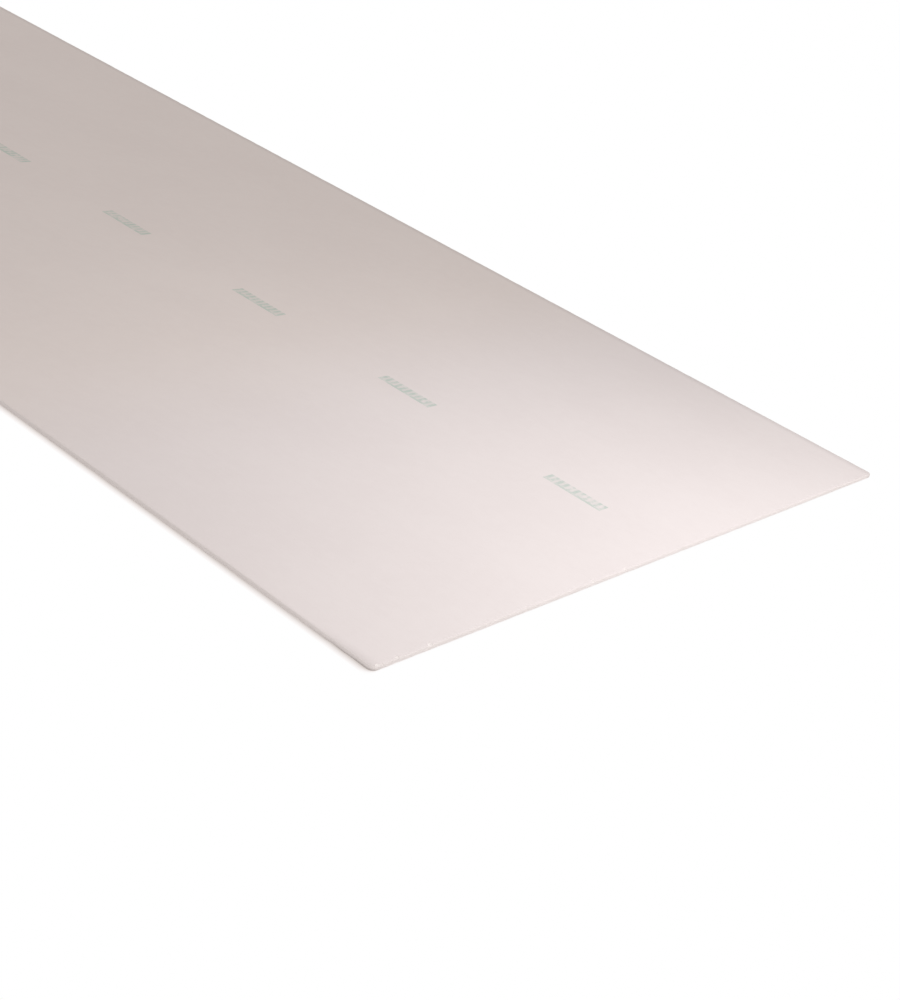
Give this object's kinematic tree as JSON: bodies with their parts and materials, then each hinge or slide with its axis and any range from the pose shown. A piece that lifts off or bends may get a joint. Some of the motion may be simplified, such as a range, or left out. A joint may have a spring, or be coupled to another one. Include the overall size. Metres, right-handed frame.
{
  "type": "insulation board",
  "caption": "Thin rigid flat mineral insulation sheet with rounded corners and lightly chipped arrises, lying on its back face.",
  "frame": {"origin": "middle of the back face, the face that the board lies on", "axes": "+X along the board's length to its near end, +Y across its width, +Z out of the smooth face"},
  "size_m": [2.44, 1.22, 0.006],
  "materials": {
    "board": "matt, finely sanded"
  },
  "bodies": {
    "root": {"insulation_board": "board"}
  },
  "joints": []
}
